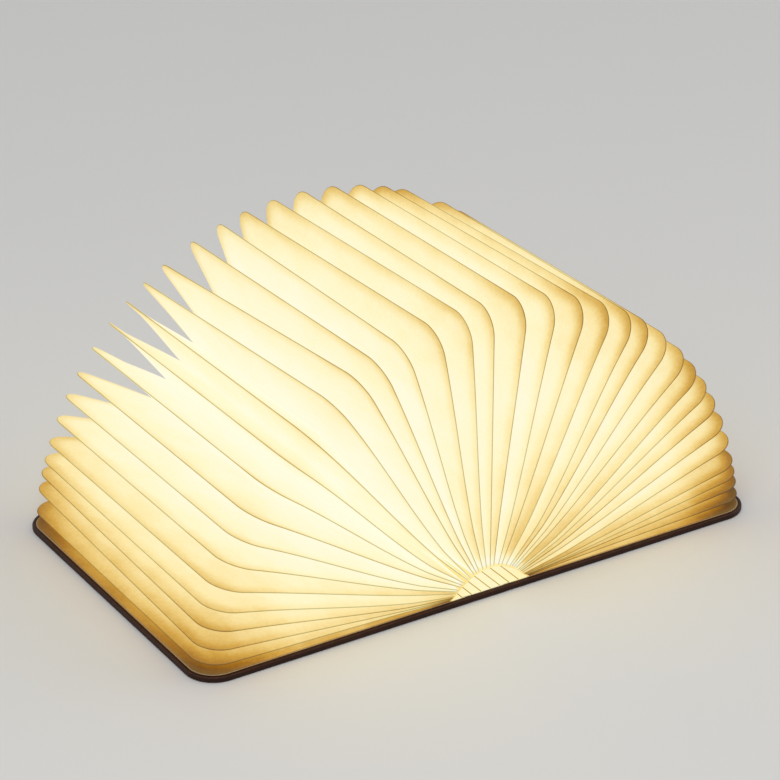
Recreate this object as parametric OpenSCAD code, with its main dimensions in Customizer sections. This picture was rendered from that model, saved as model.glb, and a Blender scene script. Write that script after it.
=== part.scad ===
// Folding book lamp: two hinged covers around a pleated paper bellows that glows from inside.
// The lamp lies open flat at rest. +X runs across the right cover, +Y along the spine towards
// the far end with the charging inlet, +Z up. The origin is the bottom centre.

/* [Covers] */
// Width of each cover, from its hinge line to the fore-edge
cover_w = 171; // [140:1:190]
// Length of the covers and the spine
cover_l = 215; // [180:1:250]
// Thickness of a cover, from the skin to the endpaper
cover_t = 3.6; // [3.2:0.1:4.6]
// Radius of the covers' outer corners
corner_r = 18; // [12:1:24]
// Distance between the two hinge lines
hinge_span = 25; // [23:0.5:34]
// How much wider than the cover is thick each half of a bending strip is
strip_slack = 0.4; // [0.3:0.05:0.8]
// Thickness of the outer skin
skin_t = 0.9; // [0.6:0.1:1.2]
// Width of the skin's turned-up rim
rim_w = 2.2; // [1.5:0.1:3]
// Thickness of the endpapers
endpaper_t = 0.3; // [0.2:0.05:0.4]

/* [Floor liner] */
// Thickness of the scored liner over the spine
liner_t = 0.6; // [0.5:0.05:0.9]
// Number of slats that the scores divide the liner into
slat_count = 8; // [4:2:8]
// Space between the liner and the feet of the end sleeves
liner_gap = 0.9; // [0.5:0.1:3]
// Width of a score
score_w = 0.5; // [0.3:0.05:0.8]
// Depth of a score
score_d = 0.35; // [0.2:0.05:0.45]

/* [Pages] */
// Number of leaves between the covers
leaf_count = 35; // [35]
// Margin of cover that shows around the pages
page_margin = 2.5; // [2:0.1:5]
// Distance from a leaf's fold line to its inner end
leaf_root_r = 14.2; // [13.6:0.1:16]
// How far the leaves keep to their settled angles, where 0 spaces them evenly
page_settling = 1; // [0:0.1:1]
// Width of the glued seam along a leaf's edge
seam_w = 5; // [3:0.5:8]
// Thickness of one paper sheet
paper_t = 0.2; // [0.15:0.01:0.22]
// Depth of a pleat, from its ridge to its valley
pleat_depth = 36; // [28:1:42]
// Corner radius of a pleat's valley
valley_r = 3; // [2:0.5:6]
// Space between a seam and the pleat wall beside it
seam_gap = 0.05; // [0.03:0.01:0.06]
// Thickness of the arched end sleeves
sleeve_t = 0.4; // [0.3:0.05:0.6]
// Space between a sleeve and the leaves' inner ends
sleeve_gap = 0.4; // [0.35:0.05:0.6]
// Length of sleeve that reaches past the pleats
sleeve_reach = 3; // [1:0.5:4]

/* [Light bar] */
// Space between each end sleeve and the light bar
bar_gap = 2.5; // [1:0.5:6]
// Wall and floor thickness of the tray
tray_wall = 1.2; // [1:0.1:1.4]
// Wall thickness of the diffuser
diffuser_t = 1.2; // [0.8:0.1:1.6]
// Thickness of both circuit boards
pcb_t = 1.2; // [0.8:0.1:1.6]
// Width of the ledges under the LED board
ledge_w = 0.8; // [0.6:0.1:1]
// Height of the ledges under the LED board
ledge_h = 1.9; // [1:0.1:4]
// Number of LEDs along the bar
led_count = 14; // [8:1:16]
// Side of a square LED
led_w = 3; // [2:0.1:3.4]
// Height of an LED
led_h = 0.7; // [0.5:0.1:1]
// Distance of each LED row from the bar's middle
led_row = 4.2; // [3:0.1:5]

/* [Power] */
// Width of a battery cell
cell_w = 17; // [14:0.1:17.6]
// Thickness of a battery cell
cell_t = 7; // [5:0.5:7.5]
// Space between the two cells
cell_gap = 2; // [1:0.5:3]
// Space on each side of and above the cells
cell_air = 0.3; // [0.1:0.05:0.4]
// Length of the bay at each end of the cells, where the screws are
screw_bay = 8; // [6:0.5:10]
// Length of the bay between the far screws and the bar's end
charge_bay = 6.6; // [5:0.1:10]
// Width of the inlet duct in the far tunnel
duct_w = 16; // [14:0.5:17]
// Space beside the charge board and above the inlet
duct_air = 0.3; // [0.1:0.05:0.6]
// Height of the ribs under the charge board
charge_rib = 0.8; // [0.6:0.1:1]
// Width of the charging inlet's shell
port_w = 8.9; // [8:0.1:9.2]
// Height of the charging inlet's shell
port_h = 3.2; // [2.8:0.1:3.3]
// Depth of the charging inlet's shell
port_l = 7.4; // [6:0.1:9]
// Wall thickness of the charging inlet's shell
port_t = 0.35; // [0.25:0.05:0.45]

/* [Magnets and screws] */
// Radius of a cover magnet
magnet_r = 5; // [3:0.5:5.5]
// Thickness of a cover magnet
magnet_t = 1.5; // [1:0.1:1.7]
// Distance of a magnet's middle from the cover's edges
magnet_inset = 22; // [18:1:30]
// Shank radius of a tray screw
screw_r = 1.2; // [1:0.1:1.3]
// Head radius of a tray screw
screw_head_r = 2.2; // [1.8:0.1:2.3]
// Head height of a tray screw
screw_head_h = 1.2; // [0.8:0.1:1.6]
// Depth of a tray screw in the spine board
screw_grip = 1.8; // [1.2:0.1:2]

/* [Fits] */
// Space around a piece in its pocket
pocket_gap = 0.1; // [0.05:0.01:0.15]
// Space between two bodies beside a hinge
joint_gap = 0.1; // [0.05:0.05:0.2]

/* [Hidden] */
$fn = 64;
hinge_x = hinge_span / 2;
hinge_z = cover_t;
half_l = cover_l / 2;
fore_x = hinge_x + cover_w;
strip_half = cover_t + strip_slack;
cover_x = hinge_x + strip_half;
spine_half = hinge_x - strip_half;

page_r = cover_w - page_margin;
page_half = half_l - page_margin;
page_corner = corner_r - page_margin;
leaf_t = 2 * paper_t;
middle_leaf = (leaf_count + 1) / 2;
arc_steps = 6;
valley_web = 1;

sleeve_outer = leaf_root_r - sleeve_gap;
sleeve_l = pleat_depth + sleeve_reach;

board_z = skin_t;
board_t = cover_t - skin_t - endpaper_t;
liner_z = cover_t;
liner_half = hinge_x + sleeve_outer - sleeve_t - liner_gap;
slat_w = 2 * liner_half / slat_count;

bar_z = liner_z + liner_t;
bar_half_l = page_half - sleeve_l - bar_gap;
tray_half_in = cell_w / 2 + cell_air;
bar_half_w = tray_half_in + tray_wall;
tray_floor = bar_z + tray_wall;
cell_bay_h = cell_t + cell_air;
led_pcb_z = tray_floor + cell_bay_h + ledge_h;
tray_top = led_pcb_z + pcb_t + led_h;
bay_half_l = bar_half_l - tray_wall;
led_margin = 5;

cell_l = bay_half_l - screw_bay - (cell_gap + charge_bay) / 2;
cells_start = screw_bay - bay_half_l;
cells_end = cells_start + 2 * cell_l + cell_gap;
tab_w = 4;
tab_t = 0.5;
screw_edge = 3;
screw_x = spine_half - screw_edge;
screw_y_near = cells_start - screw_bay / 2;
screw_y_far = cells_end + screw_bay / 2;

charge_start = screw_y_far + screw_head_r + 1.5;
charge_w = duct_w - 2 * (tray_wall + duct_air);
charge_z = tray_floor + charge_rib;
port_z = charge_z + pcb_t + port_h / 2;
port_tongue_t = 0.7;
port_tongue_w = port_w - 2.4;
duct_end = page_half;
duct_h = 2 * tray_wall + charge_rib + pcb_t + port_h + duct_air;
rib_l = 2;
rib_inset = 20;
hall_w = 4;
hall_l = 3;
hall_h = 1.5;
switch_inset = 24;
switch_y = duct_end - switch_inset;
switch_magnet_x = cover_x + magnet_r + 1.5;
e = 0.01;

skin_colour = "#3a231d";
board_colour = "#8a6f55";
paper_colour = "#f2d9a0";
tray_colour = "#c9ccd0";
board_green = "#2f6b45";

function leaf_name(k) = str("leaf_", k < 10 ? "0" : "", k);

// ---- Places of the leaves -------------------------------------------------------------

// Where ridge k stands between the right cover, 1, and the left cover, -1. Ridge 0 is the
// right cover itself, and ridge leaf_count + 1 the left one.
function share(k) = (middle_leaf - k) / middle_leaf;

// Paper doesn't fan out evenly: it crowds towards the covers, and each fold settles a
// little out of step. These are the ridges' angles above the right cover, in degrees.
settled = [
    0, 2.3, 5.2, 7.6, 10.4, 15.2, 20, 25.2, 29.9, 34.7, 39.7, 45.9,
    51.7, 56.6, 64.8, 70.4, 76.5, 83, 90, 95.7, 102, 108.2, 114, 119.9,
    125.4, 131.4, 136.8, 142.5, 148.2, 153.1, 157.9, 162.7, 166.7, 170, 173.6, 177.6, 180,
];
settled_at = [for (k = [0:leaf_count + 1]) [k, settled[k]]];

// Angle of ridge k above the right cover
function ridge_angle(k) = let (even = 90 - 90 * share(k)) even + page_settling * (lookup(k, settled_at) - even);

// Fold line of ridge k across the spine
function ridge_x(k) = hinge_x * share(k);

// The point of ridge k's plane at radius r and place y, moved n along the plane's normal
function on_ridge(k, r, y, n = 0) = let (a = ridge_angle(k)) [
    ridge_x(k) + r * cos(a) - n * sin(a),
    y,
    hinge_z + r * sin(a) + n * cos(a)
];

// A line round a leaf, set in from its edge, with rounded corners of radius r: [radius, y]
function leaf_line(inset, r) = let (
    far = page_r - inset,
    side = page_half - inset,
    corner = [for (i = [0:arc_steps]) let (a = 90 * i / arc_steps)
        [far - r + r * sin(a), side - r + r * cos(a)]]
) concat(
    [[leaf_root_r, -side]],
    [for (p = corner) [p[0], -p[1]]],
    [for (i = [arc_steps:-1:0]) corner[i]],
    [[leaf_root_r, side]]
);

// ---- Shared shapes --------------------------------------------------------------------

// A tongue from x0 to x1 whose two outer corners are rounded
module tongue(x0, x1, half_y, r) {
    translate([x0, -half_y]) square([x1 - r - x0, 2 * half_y]);
    translate([x0, r - half_y]) square([x1 - x0, 2 * (half_y - r)]);
    for (s = [-1, 1]) translate([x1 - r, s * (half_y - r)]) circle(r);
}

// One side's cover outline, set in from its outer edges
module cover_outline(inset) {
    tongue(cover_x, fore_x - inset, half_l - inset, corner_r - inset);
}

module cover_skin() {
    color(skin_colour) difference() {
        linear_extrude(cover_t) cover_outline(0);
        translate([0, 0, skin_t]) linear_extrude(cover_t) difference() {
            cover_outline(rim_w);
            translate([cover_x - 1, -half_l]) square([1, cover_l]);
        }
        translate([cover_x - 1, rim_w - half_l, skin_t]) cube([1 + e, cover_l - 2 * rim_w, cover_t]);
    }
}

module magnet_places(switch_too) {
    for (s = [-1, 1]) translate([fore_x - magnet_inset, s * (half_l - magnet_inset)]) children();
    if (switch_too) translate([switch_magnet_x, switch_y]) children();
}

module cover_board(switch_too) {
    color(board_colour) difference() {
        translate([0, 0, board_z]) linear_extrude(board_t) cover_outline(rim_w + pocket_gap);
        translate([0, 0, board_z + board_t - magnet_t - pocket_gap]) linear_extrude(magnet_t + 1)
            magnet_places(switch_too) circle(magnet_r + pocket_gap);
    }
}

module cover_magnets(switch_too) {
    color("silver") translate([0, 0, board_z + board_t - magnet_t - pocket_gap])
        linear_extrude(magnet_t) magnet_places(switch_too) circle(magnet_r);
}

module endpaper() {
    color(paper_colour) translate([0, 0, cover_t - endpaper_t])
        linear_extrude(endpaper_t) cover_outline(rim_w + pocket_gap);
}

// A length of the skin across the spine, with its turned-up ends
module skin_bridge(x0, x1) {
    color(skin_colour) difference() {
        translate([x0, -half_l, 0]) cube([x1 - x0, cover_l, cover_t]);
        translate([x0 - 1, rim_w - half_l, skin_t]) cube([x1 - x0 + 2, cover_l - 2 * rim_w, cover_t]);
    }
}

// ---- Covers and spine -----------------------------------------------------------------

module right_cover_skin() cover_skin();
module left_cover_skin() mirror([1, 0, 0]) cover_skin();
module right_cover_board() cover_board(true);
module left_cover_board() mirror([1, 0, 0]) cover_board(false);
module right_cover_magnets() cover_magnets(true);
module left_cover_magnets() mirror([1, 0, 0]) cover_magnets(false);
module right_endpaper() endpaper();
module left_endpaper() mirror([1, 0, 0]) endpaper();
module spine_skin() skin_bridge(-spine_half, spine_half);
module right_hinge_strip() skin_bridge(spine_half + joint_gap, cover_x - joint_gap);
module left_hinge_strip() mirror([1, 0, 0]) right_hinge_strip();

module screw_places() {
    for (x = [-screw_x, screw_x], y = [screw_y_near, screw_y_far]) translate([x, y]) children();
}

module spine_board() {
    color(board_colour) difference() {
        translate([-spine_half, rim_w + pocket_gap - half_l, board_z])
            cube([2 * spine_half, cover_l - 2 * (rim_w + pocket_gap), cover_t - board_z]);
        translate([0, 0, cover_t - screw_grip - pocket_gap]) linear_extrude(screw_grip + 1)
            screw_places() circle(screw_r + pocket_gap);
    }
}

// A liner over the spine, scored into slats so that it bends with the covers
module floor_liner() {
    color(paper_colour) difference() {
        translate([-liner_half, -page_half, liner_z]) cube([2 * liner_half, 2 * page_half, liner_t]);
        for (i = [1:slat_count - 1])
            translate([i * slat_w - liner_half - score_w / 2, -half_l, bar_z - score_d])
                cube([score_w, cover_l, liner_t]);
        translate([0, 0, liner_z - 1]) linear_extrude(liner_t + 2) screw_places() circle(screw_r + pocket_gap);
    }
}

// ---- Bellows --------------------------------------------------------------------------

// A leaf is the glued seam of two pleats: a flat strip along three sides of a page
module leaf(k) {
    color(paper_colour) translate([ridge_x(k), 0, hinge_z]) rotate([0, -ridge_angle(k), 0])
        translate([0, 0, -leaf_t / 2]) linear_extrude(leaf_t) difference() {
            tongue(leaf_root_r, page_r, page_half, page_corner);
            tongue(leaf_root_r - 1, page_r - seam_w, page_half - seam_w, page_corner - seam_w);
        }
}

// One pleat: two paper walls from the seams of ridges k and k + 1 down to a shared valley.
// Each ring of the solid has six points: two at each seam and two at the valley.
module pleat(k) {
    top = leaf_line(seam_w + seam_gap, page_corner - seam_w - seam_gap);
    low = leaf_line(pleat_depth, valley_r);
    web = leaf_line(pleat_depth - valley_web, valley_r + valley_web);
    near_n = k == 0 ? seam_gap : seam_gap / 2;
    far_n = k == leaf_count ? seam_gap : seam_gap / 2;
    mid = k + 0.5;
    rings = [for (i = [0:len(top) - 1]) [
        on_ridge(k, top[i][0], top[i][1], near_n),
        on_ridge(mid, low[i][0], low[i][1]),
        on_ridge(k + 1, top[i][0], top[i][1], -far_n),
        on_ridge(k + 1, top[i][0], top[i][1], -far_n - paper_t),
        on_ridge(mid, web[i][0], web[i][1]),
        on_ridge(k, top[i][0], top[i][1], near_n + paper_t)
    ]];
    side = len(rings[0]);
    last = side * (len(rings) - 1);
    // Both faces of a wall are split along the same diagonals, so that the wall keeps its thickness
    walls = [for (i = [0:len(rings) - 2], j = [0:side - 1])
        let (a = side * i + j, b = side * i + (j + 1) % side)
        each j == 3 || j == 4 ? [[a, b, a + side], [b, b + side, a + side]]
            : [[a, b, b + side], [a, b + side, a + side]]];
    cap = [[0, 4, 1], [0, 5, 4], [1, 4, 2], [2, 4, 3]];
    end_cap = [for (f = cap) [f[2] + last, f[1] + last, f[0] + last]];
    polyhedron([for (r = rings) each r], concat(walls, cap, end_cap));
}

module right_pleat_walls() color(paper_colour) for (k = [0:middle_leaf - 1]) pleat(k);
module left_pleat_walls() color(paper_colour) for (k = [middle_leaf:leaf_count]) pleat(k);

// The arch that the leaves' inner ends stand on, at radius r from their fold lines
function arch(r) = [for (k = [0:leaf_count + 1]) let (p = on_ridge(k, r, 0)) [p[0], p[2]]];

// Paper arches that line the tunnel at each end of the bellows
module end_sleeves() {
    outer = arch(sleeve_outer);
    inner = arch(sleeve_outer - sleeve_t);
    ring = concat(outer, [for (i = [len(inner) - 1:-1:0]) inner[i]]);
    color(paper_colour) for (s = [-1, 1])
        translate([0, s > 0 ? page_half : sleeve_l - page_half, seam_gap]) rotate([90, 0, 0])
            linear_extrude(sleeve_l) polygon(ring);
}

// ---- Light bar ------------------------------------------------------------------------

module light_tray() {
    duct_half = duct_w / 2;
    color(tray_colour) difference() {
        union() {
            translate([-bar_half_w, -bar_half_l, bar_z])
                cube([2 * bar_half_w, 2 * bar_half_l, tray_top - bar_z]);
            translate([-duct_half, 0, bar_z]) cube([duct_w, duct_end, duct_h]);
        }
        // Bay for the cells and the boards, with a ledge along each side under the LED board
        translate([ledge_w - tray_half_in, -bay_half_l, tray_floor])
            cube([2 * (tray_half_in - ledge_w), 2 * bay_half_l, tray_top]);
        translate([-tray_half_in, -bay_half_l, led_pcb_z])
            cube([2 * tray_half_in, 2 * bay_half_l, tray_top]);
        translate([-tray_half_in, -bay_half_l, tray_floor])
            cube([2 * tray_half_in, cells_end + bay_half_l + 1, cell_bay_h]);
        // Duct for the charge board, and the slot for the inlet
        translate([tray_wall - duct_half, charge_start, tray_floor])
            cube([duct_w - 2 * tray_wall, duct_end - tray_wall - charge_start, duct_h - 2 * tray_wall]);
        translate([0, duct_end + 1, port_z]) rotate([90, 0, 0])
            linear_extrude(tray_wall + 2) port_outline(pocket_gap);
        translate([0, 0, bar_z - 1]) linear_extrude(tray_wall + 2)
            screw_places() circle(screw_r + pocket_gap);
    }
    // Ribs that carry the charge board
    color(tray_colour) for (y = [charge_start + rib_l, duct_end - rib_inset])
        translate([-charge_w / 2, y, tray_floor]) cube([charge_w, rib_l, charge_rib]);
}

module light_diffuser() {
    inner = bar_half_w - diffuser_t;
    color("white") translate([0, bar_half_l, tray_top]) rotate([90, 0, 0]) difference() {
        linear_extrude(2 * bar_half_l) intersection() {
            circle(bar_half_w);
            translate([-bar_half_w, 0]) square([2 * bar_half_w, bar_half_w]);
        }
        translate([0, 0, diffuser_t]) linear_extrude(2 * (bar_half_l - diffuser_t)) circle(inner);
    }
}

module led_board() {
    width = tray_half_in - pocket_gap;
    length = bay_half_l - pocket_gap;
    color("white") translate([-width, -length, led_pcb_z]) cube([2 * width, 2 * length, pcb_t]);
}

module led_chips() {
    pitch = 2 * (bar_half_l - led_margin) / led_count;
    color("#ffe08a") for (s = [-1, 1], i = [0:led_count - 1])
        translate([s * led_row - led_w / 2, (i + 0.5 - led_count / 2) * pitch - led_w / 2, led_pcb_z + pcb_t])
            cube([led_w, led_w, led_h]);
}

module battery_cells() {
    color("#3f6fb0") for (i = [0, 1])
        translate([-cell_w / 2, cells_start + i * (cell_l + cell_gap), tray_floor])
            cube([cell_w, cell_l, cell_t]);
    // Nickel tabs that join the cells
    color("silver") for (s = [-1, 1])
        translate([s * cell_w / 4 - tab_w / 2, cells_start + cell_l + pocket_gap, tray_floor + cell_t / 2])
            cube([tab_w, cell_gap - 2 * pocket_gap, tab_t]);
}

module charge_board() {
    color(board_green) translate([-charge_w / 2, charge_start + 1, charge_z])
        cube([charge_w, duct_end - tray_wall - charge_start - 2, pcb_t]);
}

// Outline of the inlet's shell, a slot with round ends, grown by gap
module port_outline(gap) {
    r = port_h / 2 + gap;
    run = port_w - port_h;
    for (s = [-1, 1]) translate([s * run / 2, 0]) circle(r);
    translate([-run / 2, -r]) square([run, 2 * r]);
}

module charge_port() {
    color("silver") translate([0, duct_end, port_z]) rotate([90, 0, 0]) difference() {
        linear_extrude(port_l) port_outline(0);
        translate([0, 0, -port_t]) linear_extrude(port_l) difference() {
            port_outline(-port_t);
            square([port_tongue_w, port_tongue_t], center = true);
        }
    }
}

module hall_switch() {
    color("#222222") translate([charge_w / 2 - hall_w - 0.5, switch_y - hall_l / 2, charge_z + pcb_t])
        cube([hall_w, hall_l, hall_h]);
}

module tray_screws() {
    color("silver") {
        translate([0, 0, tray_floor]) linear_extrude(screw_head_h) screw_places() circle(screw_head_r);
        translate([0, 0, cover_t - screw_grip]) linear_extrude(tray_floor + screw_grip - cover_t)
            screw_places() circle(screw_r);
    }
}

spine_board();
spine_skin();
right_cover_board();
left_cover_board();
right_cover_skin();
left_cover_skin();
right_hinge_strip();
left_hinge_strip();
right_endpaper();
left_endpaper();
floor_liner();
end_sleeves();
right_pleat_walls();
left_pleat_walls();
light_tray();
light_diffuser();
led_board();
led_chips();
battery_cells();
charge_board();
charge_port();
hall_switch();
right_cover_magnets();
left_cover_magnets();
tray_screws();
for (k = [1:leaf_count]) leaf(k);
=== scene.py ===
"""Looks of a folding book lamp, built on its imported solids.

The lamp is a book whose leaves are a bellows of pleated paper. It lies open flat,
and an LED bar on the spine lights the paper from inside. Each sub-assembly below is
a class that keeps its own sizes, builds its meshes and dresses them in a finish.
All sizes are in metres, in the frame of the solids: +X across the right cover,
+Y along the spine towards the charging inlet, +Z up through the middle leaf.
"""

from __future__ import annotations

import logging
import math
from dataclasses import dataclass, field
from enum import Enum

import bpy
import numpy as np
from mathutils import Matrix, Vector
from numpy.typing import ArrayLike, NDArray


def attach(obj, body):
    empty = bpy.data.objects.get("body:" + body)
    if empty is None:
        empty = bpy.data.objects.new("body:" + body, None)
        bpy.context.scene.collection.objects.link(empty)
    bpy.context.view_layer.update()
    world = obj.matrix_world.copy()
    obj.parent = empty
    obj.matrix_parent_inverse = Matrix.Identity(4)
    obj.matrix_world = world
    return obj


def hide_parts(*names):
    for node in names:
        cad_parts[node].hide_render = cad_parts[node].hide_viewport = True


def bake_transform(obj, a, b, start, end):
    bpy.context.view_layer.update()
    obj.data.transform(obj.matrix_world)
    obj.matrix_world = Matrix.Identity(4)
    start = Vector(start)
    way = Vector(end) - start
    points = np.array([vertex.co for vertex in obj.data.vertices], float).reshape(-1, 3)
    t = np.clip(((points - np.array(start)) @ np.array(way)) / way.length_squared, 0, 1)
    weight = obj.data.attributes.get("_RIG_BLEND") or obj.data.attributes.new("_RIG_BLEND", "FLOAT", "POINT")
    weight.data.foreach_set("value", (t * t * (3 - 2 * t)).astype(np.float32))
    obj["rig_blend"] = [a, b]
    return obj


Array = NDArray[np.float64]
Colour = tuple[float, float, float]
Index = NDArray[np.int64]
Socket = bpy.types.NodeSocket
Material = bpy.types.Material
Object = bpy.types.Object
Plug = Socket | float | Colour

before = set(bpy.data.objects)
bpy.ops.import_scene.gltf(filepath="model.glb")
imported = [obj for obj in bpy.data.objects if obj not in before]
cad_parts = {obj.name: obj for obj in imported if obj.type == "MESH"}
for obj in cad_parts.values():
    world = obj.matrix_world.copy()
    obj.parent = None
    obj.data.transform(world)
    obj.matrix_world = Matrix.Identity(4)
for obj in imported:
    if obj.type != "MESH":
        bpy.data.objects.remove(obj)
log = logging.getLogger("book_lamp")
MM = 0.001


class Side(Enum):
    """The two halves of the lamp, with the sign of X on each."""

    RIGHT = 1
    LEFT = -1

    @property
    def cover(self) -> str:
        """Name of the moving body that this half's cover belongs to."""
        return f"{self.word}_cover"

    @property
    def word(self) -> str:
        """The side in lower case, as the nodes' names have it."""
        return self.name.lower()


# ---- Shader trees ---------------------------------------------------------------------


class Recipe:
    """One material's node tree, with short ways to add the few kinds of node it needs."""

    def __init__(self, name: str) -> None:
        """Start an empty tree.

        Args:
            name: the material's name.
        """
        self.material = bpy.data.materials.new(name)
        self.material.use_nodes = True
        self.tree = self.material.node_tree
        self.tree.nodes.clear()

    def add(self, kind: str, **settings: object) -> bpy.types.Node:
        """Add a node and set its own properties.

        Args:
            kind: the node's type without the leading "ShaderNode".
            **settings: properties of the node by name.

        Returns:
            The new node.
        """
        node = self.tree.nodes.new("ShaderNode" + kind)
        for key, value in settings.items():
            setattr(node, key, value)
        return node

    def plug(self, socket: Socket, source: Plug) -> None:
        """Link a socket, or set it where the source is a plain number or colour.

        Args:
            socket: the input socket to feed.
            source: an output socket, a number or a colour.
        """
        if isinstance(source, Socket):
            self.tree.links.new(source, socket)
        elif isinstance(source, tuple):
            wide = len(socket.default_value)
            socket.default_value = (*source, 1.0)[:wide]
        else:
            socket.default_value = source

    def place(self) -> Socket:
        """Where the shaded point is on the object, in metres."""
        return self.add("TexCoord").outputs["Object"]

    def stretched(self, scale: Colour) -> Socket:
        """The object coordinates, stretched to give a pattern a direction.

        Args:
            scale: how much each axis is multiplied by.

        Returns:
            The stretched coordinates.
        """
        node = self.add("Mapping")
        self.plug(node.inputs["Vector"], self.place())
        node.inputs["Scale"].default_value = scale
        return node.outputs["Vector"]

    def mark(self, name: str) -> Socket:
        """A number stored on the mesh's points.

        Args:
            name: the attribute's name.

        Returns:
            The attribute's value.
        """
        return self.add("Attribute", attribute_name=name).outputs["Fac"]

    def sum(self, how: str, a: Plug, b: Plug = 0.0) -> Socket:
        """Combine two numbers.

        Args:
            how: the operation, such as "ADD" or "MULTIPLY".
            a: the first number.
            b: the second number.

        Returns:
            The result.
        """
        node = self.add("Math", operation=how)
        self.plug(node.inputs[0], a)
        self.plug(node.inputs[1], b)
        return node.outputs[0]

    def span(self, value: Plug, low: float, high: float, start: float, end: float) -> Socket:
        """Carry a number smoothly from one range to another, held at both ends.

        Args:
            value: the number.
            low: where the first range starts.
            high: where the first range ends.
            start: the result at low.
            end: the result at high.

        Returns:
            The result.
        """
        node = self.add("MapRange", interpolation_type="SMOOTHSTEP")
        keys = ("Value", "From Min", "From Max", "To Min", "To Max")
        for key, source in zip(keys, (value, low, high, start, end)):
            self.plug(node.inputs[key], source)
        return node.outputs["Result"]

    def noise(self, where: Socket, scale: float, detail: float = 3.0) -> Socket:
        """Cloudy noise from 0 to 1.

        Args:
            where: the coordinates.
            scale: patches per metre.
            detail: octaves of finer noise.

        Returns:
            The noise.
        """
        node = self.add("TexNoise")
        self.plug(node.inputs["Vector"], where)
        node.inputs["Scale"].default_value = scale
        node.inputs["Detail"].default_value = detail
        return node.outputs["Fac"]

    def cells(self, where: Socket, scale: float) -> Socket:
        """Distance to the nearest of many scattered points, which gives a pebbled grain.

        Args:
            where: the coordinates.
            scale: cells per metre.

        Returns:
            The distance, 0 in the middle of each cell.
        """
        node = self.add("TexVoronoi", feature="SMOOTH_F1")
        self.plug(node.inputs["Vector"], where)
        node.inputs["Scale"].default_value = scale
        node.inputs["Smoothness"].default_value = 0.6
        return node.outputs["Distance"]

    def tones(self, value: Plug, stops: tuple[tuple[float, Colour], ...]) -> Socket:
        """Turn a number into a colour.

        Args:
            value: the number, from 0 to 1.
            stops: each place along the range with its colour.

        Returns:
            The colour.
        """
        node = self.add("ValToRGB")
        ramp = node.color_ramp
        while len(ramp.elements) < len(stops):
            ramp.elements.new(0.5)
        for element, (where, colour) in zip(ramp.elements, stops):
            element.position = where
            element.color = (*colour, 1.0)
        self.plug(node.inputs["Fac"], value)
        return node.outputs["Color"]

    def mix(self, share: Plug, a: Plug, b: Plug, how: str = "MIX") -> Socket:
        """Mix two colours.

        Args:
            share: how much of the second colour there is.
            a: the first colour.
            b: the second colour.
            how: the way of mixing.

        Returns:
            The colour.
        """
        node = self.add("Mix", data_type="RGBA", blend_type=how)
        for index, source in zip((0, 6, 7), (share, a, b)):
            self.plug(node.inputs[index], source)
        return node.outputs[2]

    def bump(self, height: Socket, distance: float, strength: float = 1.0) -> Socket:
        """Surface relief from a height.

        Args:
            height: the height, from 0 to 1.
            distance: how far the full height stands out.
            strength: how strongly it shows.

        Returns:
            The bent normal.
        """
        node = self.add("Bump")
        node.inputs["Distance"].default_value = distance
        node.inputs["Strength"].default_value = strength
        self.plug(node.inputs["Height"], height)
        return node.outputs["Normal"]

    def shade(self, **inputs: Plug) -> Material:
        """Finish the tree with one Principled shader.

        Args:
            **inputs: its sockets, with an underscore for each space in their names.

        Returns:
            The finished material.
        """
        shader = self.add("BsdfPrincipled")
        for key, source in inputs.items():
            self.plug(shader.inputs[key.replace("_", " ")], source)
        out = self.add("OutputMaterial")
        self.tree.links.new(shader.outputs["BSDF"], out.inputs["Surface"])
        return self.material


# ---- Finishes -------------------------------------------------------------------------


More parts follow.
